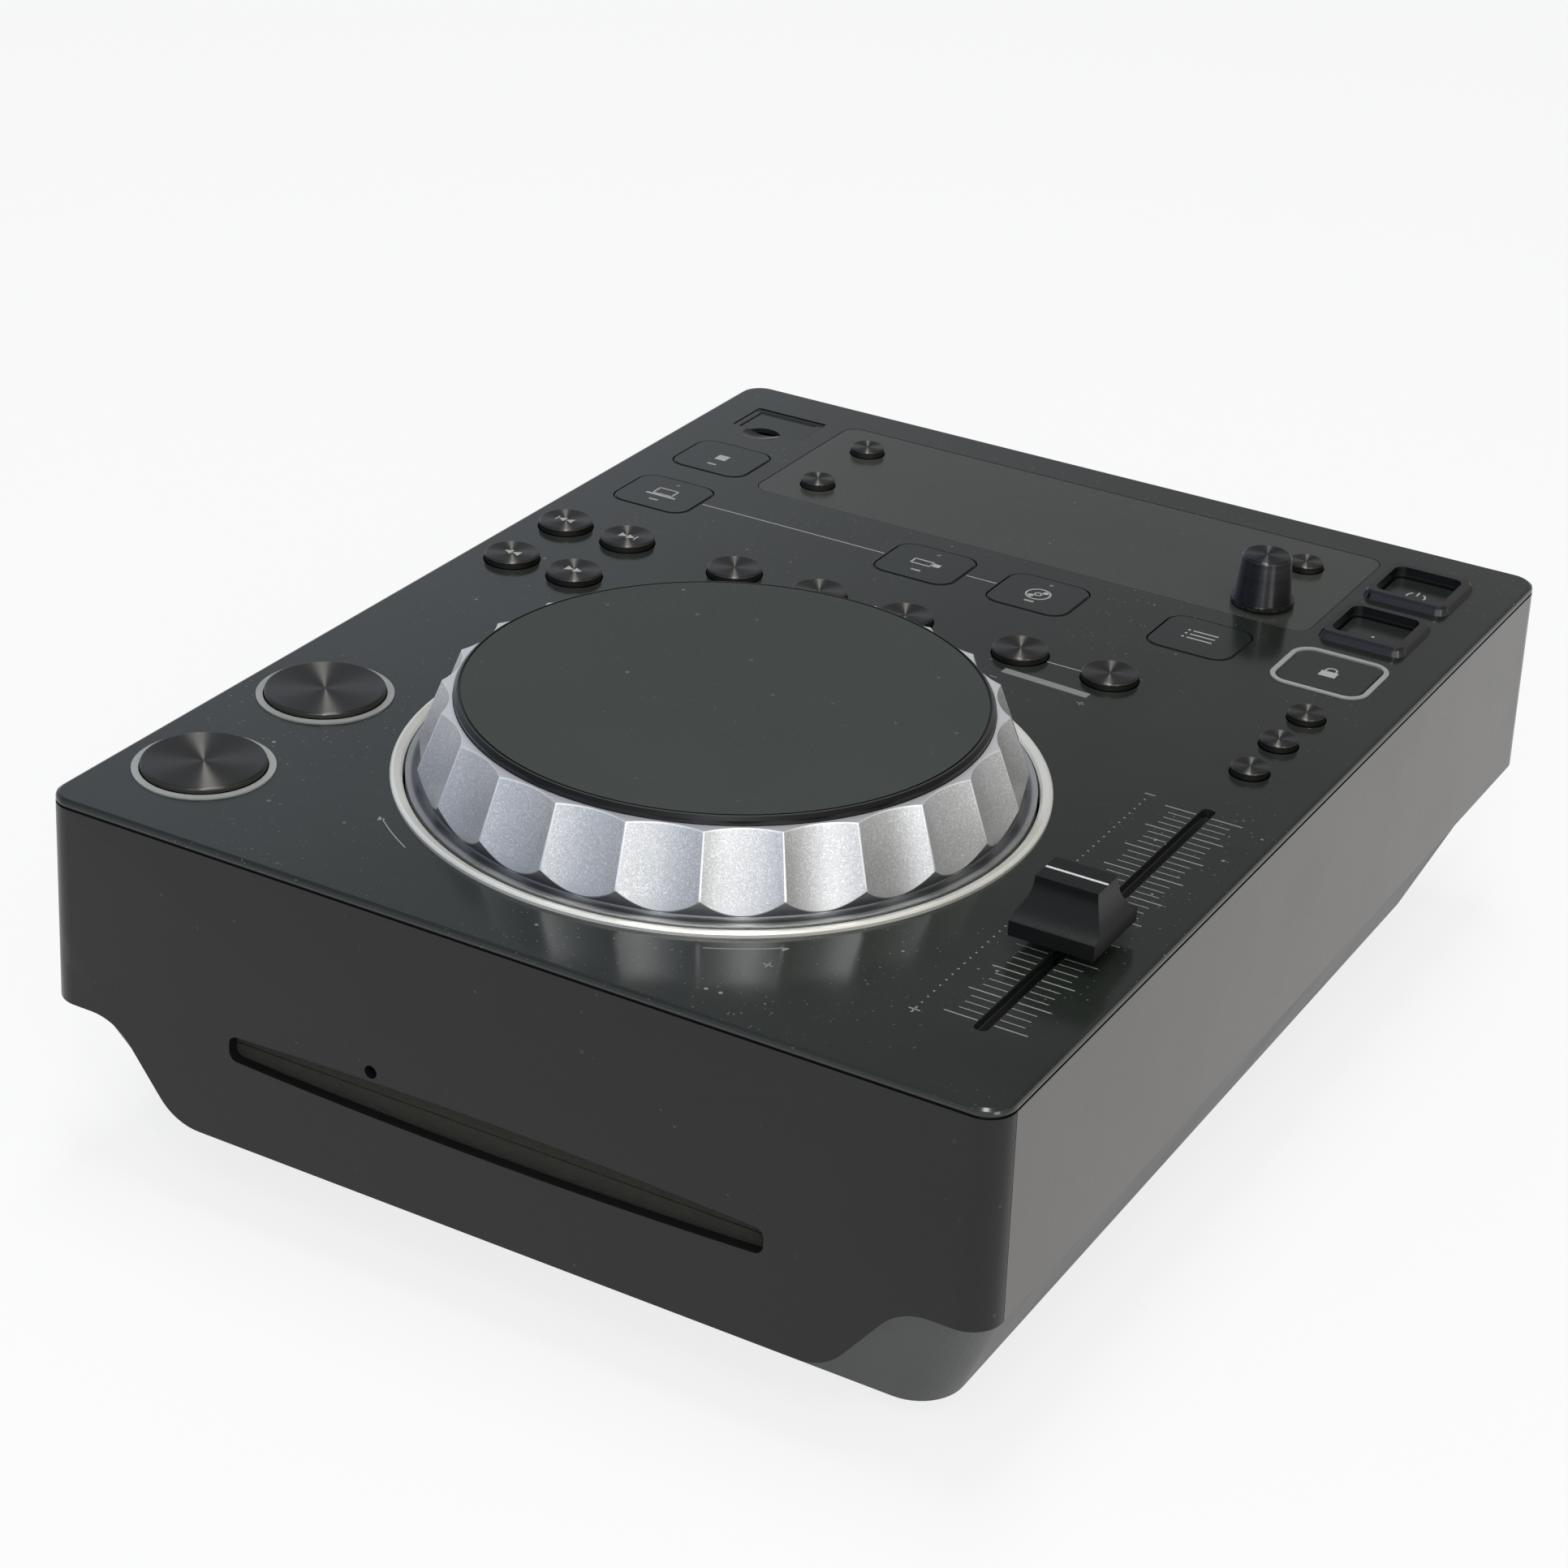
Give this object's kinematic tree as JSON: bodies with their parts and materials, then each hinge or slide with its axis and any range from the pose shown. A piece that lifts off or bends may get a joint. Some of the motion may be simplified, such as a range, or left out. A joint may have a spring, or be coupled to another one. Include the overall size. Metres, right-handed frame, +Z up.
{
  "type": "tabletop dj cd player",
  "caption": "Tabletop DJ CD player with a slot for discs, scalloped jog wheel, tempo slider, display window and round keys.",
  "frame": {"origin": "centre of the footprint at the feet, on the floor", "axes": "+Z up, front with the disc slot towards -Y, +X to the user's right"},
  "size_m": [0.22, 0.2976, 0.1072],
  "materials": {
    "plate": "semi-gloss charcoal",
    "shell": "fine-grained matte",
    "tub": "smooth dull",
    "glass": "smoked gloss",
    "lcd": "glossy",
    "silver": "satin",
    "bright": "bright satin",
    "lightgrey": "translucent light grey",
    "disc": "fine matte",
    "black_key": "spun face",
    "grey_key": "semi-gloss",
    "rubber": "matte",
    "steel": "plated",
    "felt": "felt",
    "board": "solder mask",
    "board2": "paper laminate",
    "black": "moulded"
  },
  "bodies": {
    "body": {"top_panel": "plate", "side_housing": "shell", "front_panel": "shell", "bottom_case": "tub", "display_window": "glass", "display_module": "lcd", "jog_trim_ring": "bright", "light_rings": "lightgrey", "usb_port": "steel", "rubber_feet": "rubber", "case_screws": "steel", "slot_felt": "felt", "rca_jacks": "steel", "rear_sockets": "black", "ac_inlet": "black", "main_board": "board", "key_board": "board", "power_board": "board2", "drive_chassis": "steel", "drive_cover": "steel", "drive_motors": "steel", "guide_rod": "steel", "fader_body": "steel", "jog_base": "black"},
    "usb_flap": {"usb_flap": "grey_key"},
    "feed_roller": {"feed_roller": "rubber"},
    "turntable_hub": {"turntable_hub": "rubber"},
    "clamp_arm": {"clamp_arm": "black"},
    "pickup_sled": {"pickup_sled": "black"},
    "lead_screw": {"lead_screw": "steel"},
    "tempo_fader_cap": {"tempo_fader_cap": "black_key"},
    "select_knob": {"select_knob": "black_key"},
    "select_shaft": {"select_shaft": "steel"},
    "jog_wheel": {"jog_wheel": "silver"},
    "jog_top_disc": {"jog_top_disc": "disc"},
    "play_button": {"play_button": "black_key"},
    "cue_button": {"cue_button": "black_key"},
    "track_back_button": {"track_back_button": "black_key"},
    "track_forward_button": {"track_forward_button": "black_key"},
    "search_back_button": {"search_back_button": "black_key"},
    "search_forward_button": {"search_forward_button": "black_key"},
    "loop_in_button": {"loop_in_button": "black_key"},
    "loop_out_button": {"loop_out_button": "black_key"},
    "reloop_button": {"reloop_button": "black_key"},
    "beat_half_button": {"beat_half_button": "black_key"},
    "beat_double_button": {"beat_double_button": "black_key"},
    "time_mode_button": {"time_mode_button": "black_key"},
    "utility_button": {"utility_button": "black_key"},
    "back_button": {"back_button": "black_key"},
    "usb_stop_button": {"usb_stop_button": "grey_key"},
    "link_button": {"link_button": "grey_key"},
    "usb_button": {"usb_button": "grey_key"},
    "disc_button": {"disc_button": "grey_key"},
    "playlist_button": {"playlist_button": "grey_key"},
    "bpm_lock_button": {"bpm_lock_button": "grey_key"},
    "eject_key": {"eject_key": "grey_key"},
    "power_key": {"power_key": "grey_key"},
    "vinyl_button": {"vinyl_button": "black_key"},
    "tempo_range_button": {"tempo_range_button": "black_key"},
    "master_tempo_button": {"master_tempo_button": "black_key"}
  },
  "joints": [
    {"name": "usb_flap_turn", "type": "hinge", "parent": "body", "child": "usb_flap", "pos_m": [-0.0888, 0.12313, 0.087], "axis": [-1, 0, 0], "range_deg": [0, 90]},
    {"name": "feed_roller_turn", "type": "hinge", "parent": "body", "child": "feed_roller", "pos_m": [0, -0.12742, 0.0385], "axis": [1, 0, 0], "continuous": true},
    {"name": "turntable_hub_turn", "type": "hinge", "parent": "body", "child": "turntable_hub", "pos_m": [0, -0.06442, 0.0393], "axis": [0, 0, 1], "continuous": true},
    {"name": "clamp_arm_turn", "type": "hinge", "parent": "body", "child": "clamp_arm", "pos_m": [0, -0.00642, 0.0525], "axis": [1, 0, 0], "range_deg": [0, 4]},
    {"name": "lead_screw_turn", "type": "hinge", "parent": "body", "child": "lead_screw", "pos_m": [-0.024, -0.02442, 0.0319], "axis": [0, 1, 0], "range_deg": [0, 3961]},
    {"name": "pickup_sled_slide", "type": "slide", "parent": "body", "child": "pickup_sled", "axis": [0, 1, 0], "range_m": [0, 0.033]},
    {"name": "tempo_fader_cap_slide", "type": "slide", "parent": "body", "child": "tempo_fader_cap", "axis": [0, 1, 0], "range_m": [-0.03615, 0.06385]},
    {"name": "select_shaft_turn", "type": "hinge", "parent": "body", "child": "select_shaft", "pos_m": [0.059, 0.08678, 0.0879], "axis": [0, 0, 1], "continuous": true},
    {"name": "select_knob_slide", "type": "slide", "parent": "select_shaft", "child": "select_knob", "axis": [0, 0, 1], "range_m": [-0.0006, 0], "stiffness_N_per_m": 800, "springref_m": 0.0006},
    {"name": "jog_wheel_turn", "type": "hinge", "parent": "body", "child": "jog_wheel", "pos_m": [0, -0.06112, 0.0879], "axis": [0, 0, 1], "continuous": true},
    {"name": "jog_top_disc_slide", "type": "slide", "parent": "jog_wheel", "child": "jog_top_disc", "axis": [0, 0, 1], "range_m": [-0.0005, 0], "stiffness_N_per_m": 3000, "springref_m": 0.0006},
    {"name": "play_button_slide", "type": "slide", "parent": "body", "child": "play_button", "axis": [0, 0, 1], "range_m": [-0.0006, 0], "stiffness_N_per_m": 1200, "springref_m": 0.0006},
    {"name": "cue_button_slide", "type": "slide", "parent": "body", "child": "cue_button", "axis": [0, 0, 1], "range_m": [-0.0006, 0], "stiffness_N_per_m": 1200, "springref_m": 0.0006},
    {"name": "track_back_button_slide", "type": "slide", "parent": "body", "child": "track_back_button", "axis": [0, 0, 1], "range_m": [-0.0006, 0], "stiffness_N_per_m": 800, "springref_m": 0.0006},
    {"name": "track_forward_button_slide", "type": "slide", "parent": "body", "child": "track_forward_button", "axis": [0, 0, 1], "range_m": [-0.0006, 0], "stiffness_N_per_m": 800, "springref_m": 0.0006},
    {"name": "search_back_button_slide", "type": "slide", "parent": "body", "child": "search_back_button", "axis": [0, 0, 1], "range_m": [-0.0006, 0], "stiffness_N_per_m": 800, "springref_m": 0.0006},
    {"name": "search_forward_button_slide", "type": "slide", "parent": "body", "child": "search_forward_button", "axis": [0, 0, 1], "range_m": [-0.0006, 0], "stiffness_N_per_m": 800, "springref_m": 0.0006},
    {"name": "loop_in_button_slide", "type": "slide", "parent": "body", "child": "loop_in_button", "axis": [0, 0, 1], "range_m": [-0.0006, 0], "stiffness_N_per_m": 800, "springref_m": 0.0006},
    {"name": "loop_out_button_slide", "type": "slide", "parent": "body", "child": "loop_out_button", "axis": [0, 0, 1], "range_m": [-0.0006, 0], "stiffness_N_per_m": 800, "springref_m": 0.0006},
    {"name": "reloop_button_slide", "type": "slide", "parent": "body", "child": "reloop_button", "axis": [0, 0, 1], "range_m": [-0.0006, 0], "stiffness_N_per_m": 800, "springref_m": 0.0006},
    {"name": "beat_half_button_slide", "type": "slide", "parent": "body", "child": "beat_half_button", "axis": [0, 0, 1], "range_m": [-0.0006, 0], "stiffness_N_per_m": 800, "springref_m": 0.0006},
    {"name": "beat_double_button_slide", "type": "slide", "parent": "body", "child": "beat_double_button", "axis": [0, 0, 1], "range_m": [-0.0006, 0], "stiffness_N_per_m": 800, "springref_m": 0.0006},
    {"name": "time_mode_button_slide", "type": "slide", "parent": "body", "child": "time_mode_button", "axis": [0, 0, 1], "range_m": [-0.0006, 0], "stiffness_N_per_m": 800, "springref_m": 0.0006},
    {"name": "utility_button_slide", "type": "slide", "parent": "body", "child": "utility_button", "axis": [0, 0, 1], "range_m": [-0.0006, 0], "stiffness_N_per_m": 800, "springref_m": 0.0006},
    {"name": "back_button_slide", "type": "slide", "parent": "body", "child": "back_button", "axis": [0, 0, 1], "range_m": [-0.0006, 0], "stiffness_N_per_m": 800, "springref_m": 0.0006},
    {"name": "usb_stop_button_slide", "type": "slide", "parent": "body", "child": "usb_stop_button", "axis": [0, 0, 1], "range_m": [-0.0006, 0], "stiffness_N_per_m": 800, "springref_m": 0.0006},
    {"name": "link_button_slide", "type": "slide", "parent": "body", "child": "link_button", "axis": [0, 0, 1], "range_m": [-0.0006, 0], "stiffness_N_per_m": 800, "springref_m": 0.0006},
    {"name": "usb_button_slide", "type": "slide", "parent": "body", "child": "usb_button", "axis": [0, 0, 1], "range_m": [-0.0006, 0], "stiffness_N_per_m": 800, "springref_m": 0.0006},
    {"name": "disc_button_slide", "type": "slide", "parent": "body", "child": "disc_button", "axis": [0, 0, 1], "range_m": [-0.0006, 0], "stiffness_N_per_m": 800, "springref_m": 0.0006},
    {"name": "playlist_button_slide", "type": "slide", "parent": "body", "child": "playlist_button", "axis": [0, 0, 1], "range_m": [-0.0006, 0], "stiffness_N_per_m": 800, "springref_m": 0.0006},
    {"name": "bpm_lock_button_slide", "type": "slide", "parent": "body", "child": "bpm_lock_button", "axis": [0, 0, 1], "range_m": [-0.0006, 0], "stiffness_N_per_m": 800, "springref_m": 0.0006},
    {"name": "eject_key_slide", "type": "slide", "parent": "body", "child": "eject_key", "axis": [0, 0, 1], "range_m": [-0.0006, 0], "stiffness_N_per_m": 800, "springref_m": 0.0006},
    {"name": "power_key_slide", "type": "slide", "parent": "body", "child": "power_key", "axis": [0, 0, 1], "range_m": [-0.0006, 0], "stiffness_N_per_m": 800, "springref_m": 0.0006},
    {"name": "vinyl_button_slide", "type": "slide", "parent": "body", "child": "vinyl_button", "axis": [0, 0, 1], "range_m": [-0.0006, 0], "stiffness_N_per_m": 800, "springref_m": 0.0006},
    {"name": "tempo_range_button_slide", "type": "slide", "parent": "body", "child": "tempo_range_button", "axis": [0, 0, 1], "range_m": [-0.0006, 0], "stiffness_N_per_m": 800, "springref_m": 0.0006},
    {"name": "master_tempo_button_slide", "type": "slide", "parent": "body", "child": "master_tempo_button", "axis": [0, 0, 1], "range_m": [-0.0006, 0], "stiffness_N_per_m": 800, "springref_m": 0.0006}
  ],
  "couplings": [
    {"joint": "lead_screw_turn", "follows": "pickup_sled_slide", "rad_per_m": 2094.4}
  ]
}
